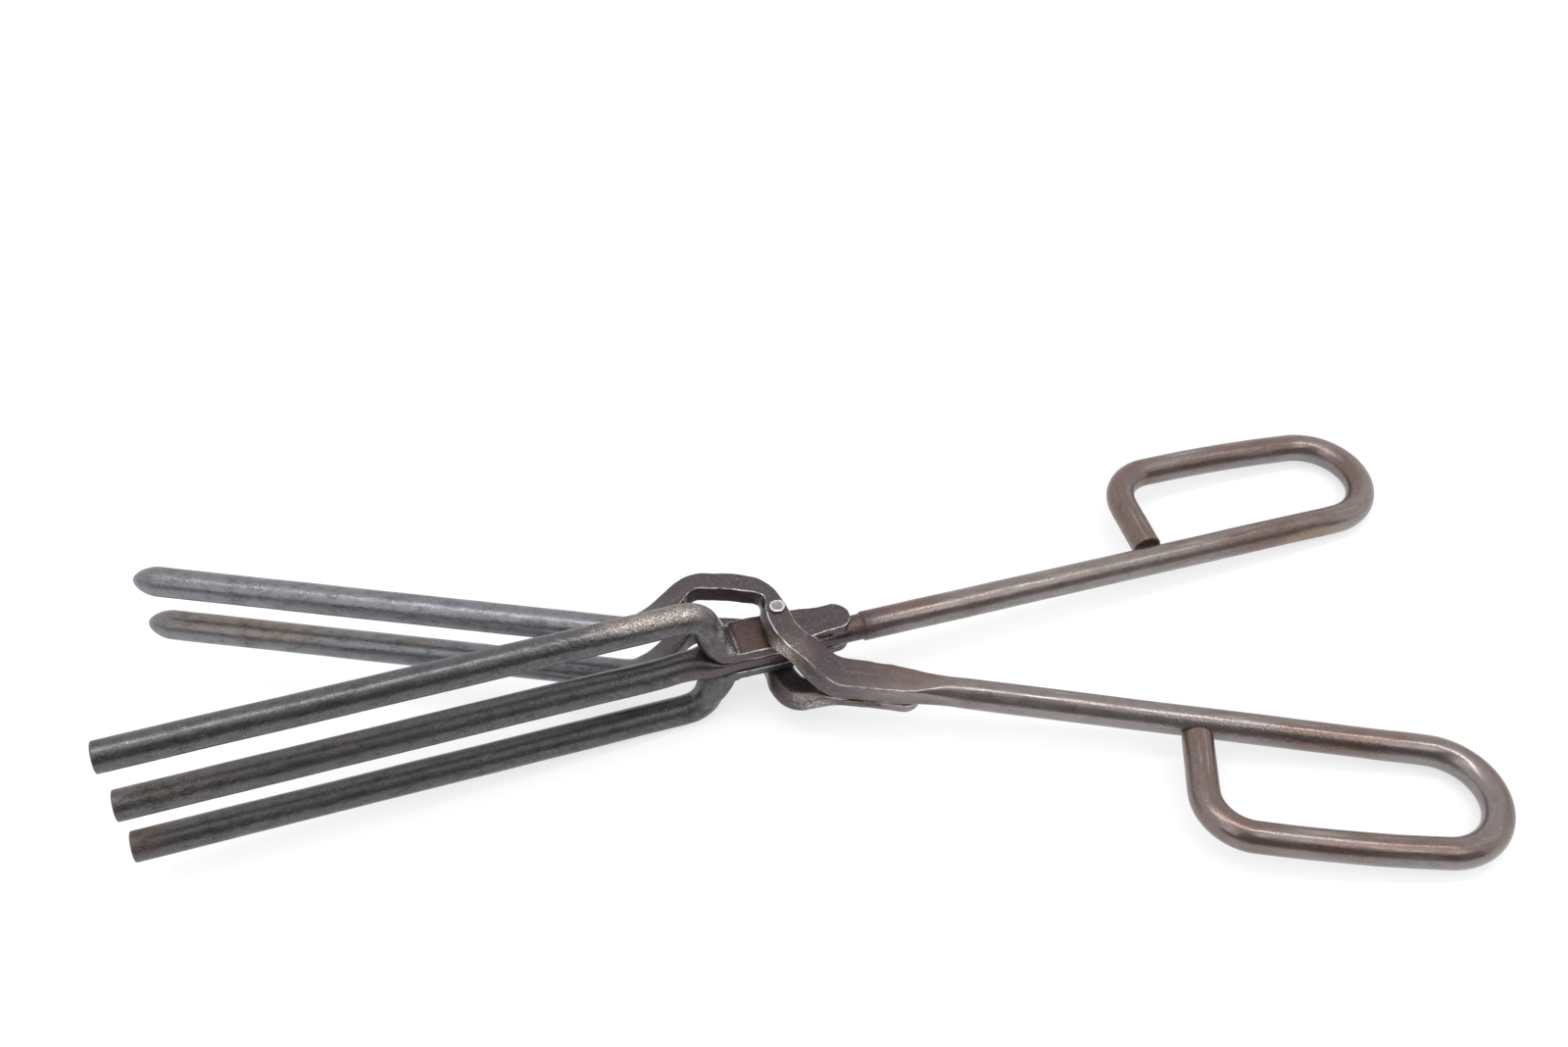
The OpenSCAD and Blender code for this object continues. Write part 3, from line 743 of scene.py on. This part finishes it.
def outer_bar(rise, sign):
    """Stations of an outer prong bar: prong, bend, leg, foot and leaf-shaped tail.

    sign is 1 for the upper bar and -1 for the lower one, which is its mirror.
    """
    g = bpy.context.scene.iron_sizes
    lap, t = g.lap_thickness, g.middle_thickness / 2
    top, mid = t + lap, t + lap / 2
    leg_slope = 70
    slope, bend_r, foot = math.radians(leg_slope), 5.2, -12.9
    head = foot - (rise - mid) / math.tan(slope) - bend_r * math.tan(slope / 2)
    cz = rise - bend_r
    y = prong_line(head, g.bar_offset)[1]
    foot_y, foot_half = -1.6, 4.6
    rows = straight_prong(g.prong_reach, g.bar_offset, rise, head - 4)
    rows.append(level(head, y, rise, 0, ROD_R, ROD_R))

    def on(radius, deg):
        a = math.radians(deg)
        return (head + radius * math.sin(a), cz + radius * math.cos(a))

    for deg in (17, 35, 52, leg_slope):
        rows.append(upright(on(bend_r + ROD_R, deg), on(bend_r - ROD_R, deg), y, ROD_R,
                            ROD_R * 0.96, ROD_R))
    bx, bz = on(bend_r + ROD_R, leg_slope)
    ex, ez = on(bend_r - ROD_R, leg_slope)
    drop = bz - top
    run = drop / math.tan(slope)
    flattened = len(rows) + 1
    rows += [
        upright((bx + run * 0.35, bz - drop * 0.35), (ex + 0.9, ez - (ez - t) * 0.3), y,
                ROD_R + 0.2, 2.2, 2.9),
        upright((bx + run * 0.7, bz - drop * 0.7), (ex + 1.9, ez - (ez - t) * 0.6), y + 0.3,
                ROD_R + 0.4, 1.3, 2.9),
        upright((bx + run * 0.97, bz - drop * 0.95), (ex + 3.2, ez - (ez - t) * 0.85), y + 0.8,
                ROD_R + 0.7, 0.5, 2.6),
        upright((bx + run + 0.7, top), (ex + 5.2, t + 0.1), -1.7, 4.5, 0.35, 1.6),
        upright((bx + run + 2.6, top), (bx + run + 1.4, t), foot_y, foot_half, 0.3, 0.2),
        upright((bx + run + 4.6, top), (bx + run + 4.4, t), foot_y, foot_half, 0.3, 0.2),
    ]
    half, end = 3.4, g.leaf_length
    tip = end - half
    for x in (0.0, 3.0, 6.0, 9.0, tip):
        a = half + (foot_half - half) * (1 + math.cos(math.pi * x / tip)) / 2
        rows.append(upright((x, top), (x, t), foot_y, a, 0.3, 0.2))
    for deg in (20, 40, 55, 68, 78, 86):
        a = math.radians(deg)
        x = tip + half * math.sin(a)
        rows.append(upright((x, top), (x, t), foot_y - 0.1 * math.sin(a),
                            half * math.cos(a) + 0.03, 0.3, 0.2))
    rows.append(upright((end - 0.005, top), (end - 0.005, t), -1.7, 0.12, 0.1, 0.1))
    if sign < 0:
        for row in rows[flattened:]:
            row[TOP_R] = max(row[TOP_R], 0.9)
        for row in rows:
            for place in (Z, SIDE_Z, UP_X, UP_Y):
                row[place] *= -1
            row[TOP_R], row[LOW_R] = row[LOW_R], row[TOP_R]
    return rows


class IRON_OT_outer_prong_bars(bpy.types.Operator):
    """Upper and lower outer prongs with their bent legs and leaf-shaped tails"""

    bl_idname = "iron.outer_prong_bars"
    bl_label = "Outer prong bars"
    bl_options = {"REGISTER", "UNDO"}

    def execute(self, context):
        g = context.scene.iron_sizes
        c = context.scene.iron_finish
        zero = g.prong_reach + 8
        marks = [
            ("pitted", (-34, -3.2, 17), (30, 4, 5), 1.0),
            ("pitted", (-22, -3, 16), (9, 5, 6), 0.8),
            ("pitted", (-110, -5, 15), (40, 5, 4), 0.4),
            ("rust", (-6, -2, 4), (7.5, 6.5, 1.8), 1.0),
            ("rust", (3, 0, 4), (4, 4, 1.5), 0.5),
            # Painted highlights: the bright marks light the foot, the leg's back and the knee's
            # top; the dark mark is painted shade on the leg's underside below the bend.
            ("bright", (-9.9, -3.4, 4.4), (0.9, 4.2, 0.7), 0.9),
            ("bright", (-12.9, -4.9, 11.5), (1.7, 2.0, 3.6), 1.0),
            ("bright", (-11.2, -5.2, 7.0), (1.7, 2.2, 3.6), 1.0),
            ("dark", (-17.5, -5.6, 8.0), (2.4, 1.6, 2.4), 0.7),
            ("tan", (-25, -3, 18.2), (19, 4.5, 3.2), 0.8),
            ("bright", (-25, -4.0, 17.8), (17, 2.4, 1.8), 0.75),
        ]
        upper = make_bar("upper_prong_bar_forged", THREE_PRONG, HALF_OPEN,
                         outer_bar(UPPER_RISE, 1), marks, 4.1, zero,
                         fine=((zero - 3, zero + 2),))
        mat = forged_iron("blackened pitted iron", c.prong_black, c.plate_mauve,
                          c.plate_mauve, film=0.03, gloss=0.2)
        finish_piece(upper, mat)
        marks = [
            ("rust", (-129, -5, -11), (6, 6, 3.2), 0.6),
            ("tan", (-129, -5, -10.6), (5, 4, 2.4), 0.45),
            ("pitted", (-100, -6, -12), (50, 4, 3), 0.35),
            ("rust", (-6, -2, -4), (8, 5.5, 1.6), 0.5),
        ]
        lower = make_bar("lower_prong_bar_forged", THREE_PRONG, HALF_OPEN,
                         outer_bar(LOWER_DROP, -1), marks, 8.7, zero)
        mat = forged_iron("blackened iron", c.prong_black, c.prong_black, c.plate_mauve,
                          film=0.08)
        finish_piece(lower, mat)
        return {"FINISHED"}


# Length along a fork bar from its point to the rivet, and how many of the hump's stations
# belong to the crossing.
FORK_ZERO = 146.0
CROSSING = 3

# Root of a fork prong: x, y, heading, half width, half height, corner radius.
ROOT = ((-33.0, -9.73, 1.1, 3.175, 3.175, 3.175), (-30.2, -9.65, 3, 3.15, 3.0, 2.8),
        (-28.3, -9.35, 14, 3.0, 2.8, 2.2), (-26.7, -8.45, 34, 2.75, 2.5, 1.3),
        (-25.5, -7.1, 50, 2.5, 2.3, 0.6))
# Hump of a fork bar in plan: its outer and inner edge, station by station.
HUMP = (((-24.7, -1.7), (-20.6, -4.2)), ((-22.9, 1.5), (-19.1, -1.2)),
        ((-20.6, 4.7), (-18.5, 0.6)), ((-17.6, 6.7), (-17.3, 2.1)),
        ((-13.5, 7.4), (-14.0, 2.8)), ((-7.3, 7.8), (-8.3, 3.2)),
        ((-3.8, 6.9), (-4.9, 3.1)), ((-1.1, 4.8), (-3.5, 1.9)), ((1.4, 1.6), (-2.9, -1.0)),
        ((4.0, -2.6), (-1.4, -4.6)))


def fork_bar_start(z):
    """Stations of a fork prong, its root and the hump, up to the rivet."""
    g = bpy.context.scene.iron_sizes
    b = g.fork_thickness / 2
    rows = pointed_prong(g.fork_reach, g.fork_offset, z, -36)
    rows += [level(x, y, z, h, a, q, r) for x, y, h, a, q, r in ROOT]
    rows += [between(left, right, z + b, z - b, 0.4, 1.1) for left, right in HUMP]
    return rows


class IRON_OT_handle_bar(bpy.types.Operator):
    """Upper fork prong, hump, crossing, flattened tail, handle and finger loop"""

    bl_idname = "iron.handle_bar"
    bl_label = "Handle bar"
    bl_options = {"REGISTER", "UNDO"}

    def execute(self, context):
        g = context.scene.iron_sizes
        c = context.scene.iron_finish
        rows = fork_bar_start(FORK_Z)
        for row in rows[-CROSSING:]:
            row[BULGE] = 0.5
            row[LOW_R] = 1.6
        t = g.tail_thickness / 2
        y = -g.fork_offset
        rows += [
            between((5.6, -4.7), (0.6, -7.9), 8.95, 4.4, 0.4, 1.8, 0.6),
            between((7.2, -5.6), (3.9, -10.4), 8.6, 4.1, 0.4, 2.0, 0.3),
            between((9.3, -5.3), (7.4, -12.0), 6.9, 1.5, 0.4, 2.0, 0.55),
            between((11.2, -5.2), (10.6, -12.7), 4.4, -1.2, 0.4, 1.9, 0.4),
            between((13.6, -5.3), (13.6, -12.95), 2.6, -t, 0.4, 1.2, 0.1),
            between((18, -5.4), (18, -12.95), t, -t, 0.4, 0.8),
            between((24, -5.7), (24, -12.7), t, -t, 0.4, 0.8),
            between((29, -6.1), (29, -12.4), t, -t, 0.6, 1.2),
            between((32, -6.3), (32, -12.1), t + 0.15, -t - 0.3, 1.3, 1.8),
            level(36, y, 0, 0, 3.0, 2.95, 2.7),
            *(rod(x, y) for x in (41, 60, 80, 100)),
        ]
        rows += finger_loop(g.fork_offset, -1)
        marks = [
            ("pitted", (-90, -11, 7), (55, 4, 5), 0.45),
            ("rust", (30, -12, -1), (9, 3, 2.4), 0.5),
            ("rust", (-2, -4, 5), (5, 5, 2.5), 0.5),
            ("pitted", (3, -9.5, 6), (9, 5, 4), 1.0),
            # Painted highlight on the swollen near side of the crossing.
            ("bright", (1.5, -9.5, 6.5), (4.5, 2.5, 2.5), 0.9),
            ("tan", (2, -9.5, 6), (8, 5.5, 3.8), 1.0),
            ("rust", (-10, 2.6, 6), (9, 1.2, 3), 0.7),
            ("pitted", (96, -12, 1), (30, 4, 4), 0.5),
            ("pitted", (86, -25, 0), (8, 8, 5), 0.6),
        ]
        obj = make_bar("handle_bar_forged", FORK, -HALF_OPEN, rows, marks, 2.6, FORK_ZERO)
        mat = forged_iron("blue and brown forged iron", c.fork_blue, c.plate_mauve,
                          c.handle_brown, film=0.1, gloss=0.24, ends=FORK_ENDS)
        finish_piece(obj, mat)
        return {"FINISHED"}


class IRON_OT_fork_lower_bar(bpy.types.Operator):
    """Lower fork prong with the tail lapped under the handle bar"""

    bl_idname = "iron.fork_lower_bar"
    bl_label = "Lower fork bar"
    bl_options = {"REGISTER", "UNDO"}

    def execute(self, context):
        g = context.scene.iron_sizes
        c = context.scene.iron_finish
        rows = fork_bar_start(-FORK_Z)
        for row in rows[-len(HUMP) - 1:]:
            row[TOP_R], row[LOW_R] = 1.0, 0.7
        t = g.tail_thickness / 2
        low = -t - g.under_thickness
        lap = -t - 0.05
        rows += [
            between((5.6, -4.7), (0.4, -8.4), -4.45, -8.95, 1.4, 1.4, 0.3),
            between((7.2, -5.6), (3.4, -11.6), -4.4, -8.9, 1.7, 1.6, 0.3),
            between((9.3, -5.4), (7.2, -12.7), -3.7, -8.2, 1.7, 1.6, 0.5),
            between((11.2, -5.4), (10.6, -12.7), -2.7, -6.8, 1.2, 1.4, 0.2),
            between((13.6, -5.7), (13.6, -12.5), lap, -5.6, 0.4, 1.0),
            between((18, -5.8), (18, -12.4), lap, low, 0.3, 0.7),
            between((24, -5.9), (24, -12.3), lap, low, 0.3, 0.7),
        ]
        half, end, y = 3.2, 30.9, -g.fork_offset
        for deg in (8, 25, 42, 56, 68, 78, 86):
            a = math.radians(deg)
            w = half * math.cos(a) + 0.03
            x = end - half + half * math.sin(a)
            rows.append(between((x, y + w), (x, y - w), lap, low + 0.5 * math.sin(a), 0.3, 0.6))
        rows.append(between((end, y + 0.1), (end, y - 0.1), -t - 0.1, low + 0.6, 0.1, 0.1))
        marks = [
            ("pitted", (8, -11, -6), (8, 5, 4), 1.0),
            # Painted highlight along the plate's near edge, and painted shade on its top face
            # under the stack.
            ("bright", (10, -12.5, -5), (5.5, 2.6, 2.2), 0.7),
            ("dark", (2, -8, -6), (6, 5, 4), 0.5),
            ("pitted", (-90, -11, -7), (55, 4, 5), 0.45),
        ]
        obj = make_bar("fork_lower_bar_forged", FORK, -HALF_OPEN, rows, marks, 6.2, FORK_ZERO)
        mat = forged_iron("blue-grey forged iron", c.fork_blue, c.plate_mauve, c.plate_mauve,
                          film=0.7, gloss=0.26, ends=FORK_ENDS)
        finish_piece(obj, mat)
        return {"FINISHED"}


# Colour of the rivet's hammered iron.
PEENED_IRON = (0.3, 0.27, 0.27)


class IRON_OT_rivet(bpy.types.Operator):
    """Peened rivet with a ragged burr round its heads"""

    bl_idname = "iron.rivet"
    bl_label = "Rivet"
    bl_options = {"REGISTER", "UNDO"}

    def execute(self, context):
        c = context.scene.iron_finish
        top = (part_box("rivet")[1].z - RIVET.z) / MM
        flat = top - 0.45
        shank, head, rim, burr = 1.3, 1.7, 1.38, 0.9
        profile = [(0.02, top - 0.2), (0.45, top - 0.18), (0.8, top - 0.12), (1.05, top - 0.08),
                   (1.25, top), (1.42, top), (1.56, top - 0.06), (head, top - 0.2),
                   (head - 0.02, flat + 0.06), (head - 0.2, flat), (shank, flat - 0.1),
                   (shank, 2.0)]
        profile += [(q, -z) for q, z in reversed(profile)]
        n = 72
        ang = np.arange(n) * 2 * math.pi / n
        pts = np.zeros((len(profile), n, 3))
        edge = np.zeros((len(profile), n))
        for k, (q, z) in enumerate(profile):
            ring = np.stack([q * np.cos(ang), q * np.sin(ang), np.full(n, z)], axis=1)
            on_head = abs(z) > flat - 0.01
            if on_head and q > 0.3:
                ragged = fractal(np.stack([np.cos(ang) * 2, np.sin(ang) * 2,
                                           np.full(n, z * 0.2)], axis=1), 0.8, 3, 3.3)
                share = max(0.0, (q - burr) / 0.8)
                ring[:, :2] *= (1 + 0.11 * share * ragged)[:, None]
                ring[:, 2] += np.sign(z) * 0.07 * ragged * share
            pts[k] = ring
            edge[k] = math.exp(-((q - rim) / 0.28) ** 2) if on_head else 0
        obj = grid_object("rivet_peened", to_frame(pts, -HALF_OPEN))
        add_mark(obj, "edge", edge)
        close_seam(obj)
        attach(obj, FORK)
        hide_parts("rivet")
        finish_piece(obj, small_metal("peened iron", PEENED_IRON, c.worn_and_highlight, 0.38))
        return {"FINISHED"}


# Half thickness of a bead, and how far the stack's beads lie inwards, in millimetres.
BEAD_R = 0.85
BEAD_SHIFT = 0.25


class IRON_OT_brazing(bpy.types.Operator):
    """Small beads of brazing metal along the lapped tails"""

    bl_idname = "iron.brazing"
    bl_label = "Brazing"
    bl_options = {"REGISTER", "UNDO"}

    def execute(self, context):
        c = context.scene.iron_finish
        mat = small_metal("dull brazing metal", c.braze, c.worn_and_highlight, 0.34)
        for node, body in (("upper_braze", THREE_PRONG), ("lower_braze", THREE_PRONG),
                           ("fork_braze", FORK)):
            angle = HALF_OPEN if body == THREE_PRONG else -HALF_OPEN
            turn_in = Matrix.Rotation(math.radians(angle), 3, "Z")
            low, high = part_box(node)
            middle = (low + high) / 2
            shift = BEAD_SHIFT * MM if body == THREE_PRONG else 0
            middle += turn_in @ Vector((0, shift, 0))
            length = (high.x - low.x) / math.cos(math.radians(angle))
            bpy.ops.object.select_all(action="DESELECT")
            bpy.ops.mesh.primitive_ico_sphere_add(subdivisions=5, radius=0.5, location=(0, 0, 0))
            obj = bpy.context.object
            obj.name = node + "_bead"
            for v in obj.data.vertices:
                k = v.co.x * 2
                thick = 1 + 0.35 * noise.noise(Vector((k * 3, low.x * 900, 0)))
                rough = 1 + 0.16 * noise.noise(v.co * 9 + Vector((low.y * 999, 0, 0)))
                w = BEAD_R * MM * thick * rough
                v.co = middle + turn_in @ Vector((v.co.x * length * 0.98, v.co.y * w, v.co.z * w))
            bpy.ops.object.shade_smooth()
            mark = obj.data.attributes.new("edge", "FLOAT", "POINT")
            mark.data.foreach_set("value", [0.0] * len(obj.data.vertices))
            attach(obj, body)
            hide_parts(node)
            finish_piece(obj, mat)
        return {"FINISHED"}


# ---------------------------------------------------------------- studio


# Fit to the photograph: its width and focal length in pixels, angles in degrees, pixels in
# a millimetre at the tool, the rivet's place in millimetres and the handle's angle in plan.
PHOTO_W = 1600
FOCAL_PX = 1685.0
CAMERA_ELEVATION = 45.5
CAMERA_TILT = 1.75
PX_PER_MM = 4.625
RIVET_IN_VIEW = (-1.67, -32.50)
HANDLE_IN_VIEW = 5.09


def photo_camera():
    """Camera at the photograph's angle, fitted to the plane of the tool."""
    el, tilt = math.radians(CAMERA_ELEVATION), math.radians(CAMERA_TILT)
    ex = Vector((math.cos(tilt), 0, -math.sin(tilt)))
    ez = Vector((math.sin(tilt), 0, math.cos(tilt)))
    to_tool = Matrix((ex, (0, 1, 0), ez))
    right = to_tool @ Vector((1, 0, 0))
    ahead = to_tool @ Vector((0, math.cos(el), -math.sin(el)))
    up = to_tool @ Vector((0, math.sin(el), math.cos(el)))
    eye = -ahead * FOCAL_PX / PX_PER_MM * MM
    turn = Matrix.Rotation(math.radians(-HANDLE_IN_VIEW), 3, "Z")
    origin = Vector((*RIVET_IN_VIEW, 0)) * MM
    data = bpy.data.cameras.new("photo camera")
    data.sensor_width = 36.0
    data.lens = FOCAL_PX / PHOTO_W * data.sensor_width
    data.clip_start, data.clip_end = 0.01, 20
    cam = bpy.data.objects.new("photo camera", data)
    bpy.context.scene.collection.objects.link(cam)
    rot = turn @ Matrix((right, up, -ahead)).transposed()
    cam.matrix_world = Matrix.Translation(turn @ (eye - origin) + RIVET) @ rot.to_4x4()
    bpy.context.scene.camera = cam


def white_to_the_eye(tree, plain, white, share=1.0):
    """Mixes a share of pure white into a shader for camera, glossy and transmission rays."""
    path = tree.nodes.new("ShaderNodeLightPath")
    seen = tree.maths("MAXIMUM", path.outputs["Is Camera Ray"], path.outputs["Is Glossy Ray"])
    seen = tree.maths("MAXIMUM", seen, path.outputs["Is Transmission Ray"])
    mix = tree.add("ShaderNodeMixShader", {0: tree.times(seen, share), 1: plain, 2: white})
    return mix.outputs[0]


def softbox(name, place, look_at, size, power):
    """Soft rectangular lamp at place, turned to look_at."""
    data = bpy.data.lights.new(name, "AREA")
    data.shape = "RECTANGLE"
    data.size, data.size_y = size
    data.energy = power
    lamp = bpy.data.objects.new(name, data)
    bpy.context.scene.collection.objects.link(lamp)
    lamp.location = place
    lamp.rotation_euler = (Vector(look_at) - Vector(place)).to_track_quat("-Z", "Y").to_euler()


def stage_plane(name, mat, **place):
    """Plane of the stage with its material; size, location and rotation as for a primitive."""
    bpy.ops.object.select_all(action="DESELECT")
    bpy.ops.mesh.primitive_plane_add(**place)
    plane = bpy.context.object
    plane.name = name
    plane.data.materials.append(mat)
    return plane


# Lamps: name, place, aim, size in metres, power in watts.
LAMPS = (
    ("overhead_strip", (0, RIVET.y, 0.7), (0, RIVET.y, 0), (0.8, 0.05), 1.7),
    ("left_window", (-0.39, -0.43, 0.66), (-0.05, 0, 0), (0.35, 0.8), 1.6),
    ("right_window", (0.33, -0.36, 0.72), (0.05, 0, 0), (0.35, 0.4), 1.1),
)
# Floor: its contact with the root, from the rivet, its size and drop, in metres, and the
# share of pure white in what is seen of it. Then the strength of the daylight, and the
# lower and upper edge of the dark panel.
ROOT_CONTACT = 0.021
FLOOR_SIZE = 6
FLOOR_DROP = 0.0001
FLOOR_WHITE = 0.62
DAYLIGHT = 1.15
FLAG_FOOT = Vector((0, -0.85, 0))
FLAG_TOP = Vector((0, -0.45, 2.2))


def white_table():
    """Floor under the lower prong's root and the ends of both loops, where the iron rests."""
    root_x = RIVET.x - ROOT_CONTACT
    loop_x = CAD_BOX[1].x - ROD_R * MM
    lean = math.atan2(RIVET.z - ROD_R * MM, loop_x - root_x)
    mat, tree, shader = new_material("white table")
    tree.feed(shader, {
        "Base Color": (0.86, 0.86, 0.87, 1), "Roughness": 0.9, "Specular IOR Level": 0.0})
    glow = tree.add("ShaderNodeEmission", {"Strength": 1.0})
    out = white_to_the_eye(tree, shader.outputs[0], glow.outputs[0], FLOOR_WHITE)
    tree.feed(tree.nodes["Material Output"], {"Surface": out})
    stage_plane("white_table", mat, size=FLOOR_SIZE, location=(root_x, 0, -FLOOR_DROP),
                rotation=(0, -lean, 0))


def white_room():
    """World that lights the iron evenly and is pure white to the eye."""
    world = bpy.data.worlds.new("studio")
    bpy.context.scene.world = world
    tree = Tree(world)
    plain = tree.nodes["Background"]
    tree.feed(plain, {"Color": (1, 1, 1, 1), "Strength": DAYLIGHT})
    white = tree.add("ShaderNodeBackground", {"Color": (1, 1, 1, 1), "Strength": 1.0})
    out = white_to_the_eye(tree, plain.outputs[0], white.outputs[0])
    tree.feed(tree.nodes["World Output"], {"Surface": out})


def dark_flag():
    """Dark panel behind the camera, which shows only as a reflection in the metal."""
    mat, tree, _ = new_material("dark room")
    glow = tree.add("ShaderNodeEmission", {"Color": (0.06, 0.055, 0.055, 1)})
    tree.feed(tree.nodes["Material Output"], {"Surface": glow.outputs[0]})
    up = FLAG_TOP - FLAG_FOOT
    flag = stage_plane("dark_flag", mat, size=up.length, location=(FLAG_FOOT + FLAG_TOP) / 2,
                       rotation=(math.atan2(up.z, up.y), 0, 0))
    for kind in ("camera", "diffuse", "shadow", "transmission", "volume_scatter"):
        setattr(flag, "visible_" + kind, False)


class IRON_OT_stage(bpy.types.Operator):
    """White table under the iron, studio light and the photograph's camera"""

    bl_idname = "iron.stage"
    bl_label = "Stage"
    bl_options = {"REGISTER", "UNDO"}

    def execute(self, context):
        photo_camera()
        context.scene.view_settings.view_transform = "Standard"
        white_table()
        white_room()
        for lamp in LAMPS:
            softbox(*lamp)
        dark_flag()
        return {"FINISHED"}


class IRON_PT_panel(bpy.types.Panel):
    """Operators of the waving iron"""

    bl_label = "Waving iron"
    bl_idname = "IRON_PT_panel"
    bl_space_type = "VIEW_3D"
    bl_region_type = "UI"
    bl_category = "Waving iron"

    def draw(self, context):
        for operator in OPERATORS:
            self.layout.operator(operator.bl_idname)


OPERATORS = (IRON_OT_centre_bar, IRON_OT_outer_prong_bars, IRON_OT_handle_bar,
             IRON_OT_fork_lower_bar, IRON_OT_rivet, IRON_OT_brazing, IRON_OT_stage)
CLASSES = (IRON_PG_sizes, IRON_PG_finish, *OPERATORS, IRON_PT_panel)


def register():
    for cls in CLASSES:
        bpy.utils.register_class(cls)
    bpy.types.Scene.iron_sizes = bpy.props.PointerProperty(type=IRON_PG_sizes)
    bpy.types.Scene.iron_finish = bpy.props.PointerProperty(type=IRON_PG_finish)


def unregister():
    del bpy.types.Scene.iron_finish
    del bpy.types.Scene.iron_sizes
    for cls in reversed(CLASSES):
        bpy.utils.unregister_class(cls)


def main():
    register()
    bpy.ops.iron.centre_bar()
    bpy.ops.iron.outer_prong_bars()
    bpy.ops.iron.handle_bar()
    bpy.ops.iron.fork_lower_bar()
    bpy.ops.iron.rivet()
    bpy.ops.iron.brazing()
    bpy.ops.iron.stage()


if __name__ == "__main__":
    main()
